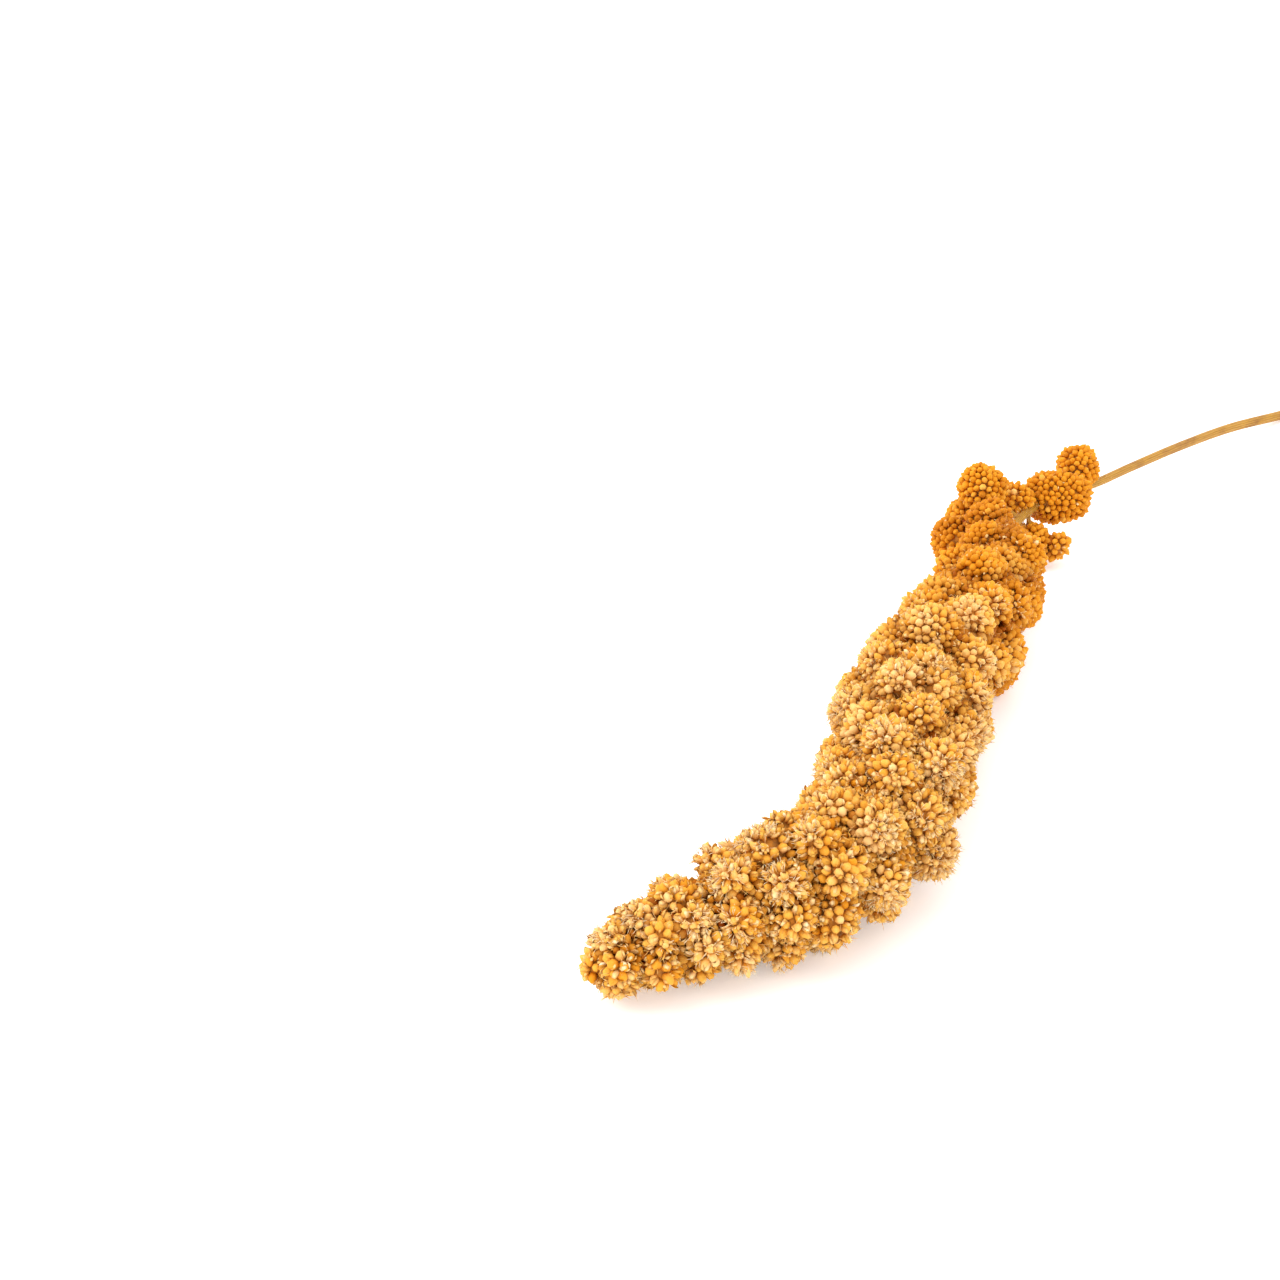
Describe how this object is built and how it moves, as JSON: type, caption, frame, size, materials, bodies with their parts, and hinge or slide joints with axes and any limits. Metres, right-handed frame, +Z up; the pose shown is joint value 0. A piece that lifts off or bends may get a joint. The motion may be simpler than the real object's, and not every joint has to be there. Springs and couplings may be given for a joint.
{
  "type": "foxtail millet head",
  "caption": "Dried head of foxtail millet, cut with a length of straw stem, lying on its side: a curved, lobed mass of seeds with loose clusters at its base.",
  "frame": {"origin": "middle of the footprint, on the surface that the head lies on", "axes": "+X from the tip of the head to the cut end of the stem, +Z up, away from the surface"},
  "size_m": [0.368, 0.077, 0.0332],
  "materials": {
    "straw": "dry straw, finely ridged along its length, low sheen",
    "gold_seeds": "small round golden husked seeds with pale dry bristles and papery scales between them, matt to low sheen",
    "amber_seeds": "small round orange husked seeds with few bristles, low sheen"
  },
  "bodies": {
    "root": {"stem": "straw", "seed_head": "gold_seeds", "basal_cluster_1": "amber_seeds", "basal_cluster_2": "amber_seeds", "basal_cluster_3": "amber_seeds", "basal_cluster_4": "amber_seeds"}
  },
  "joints": []
}
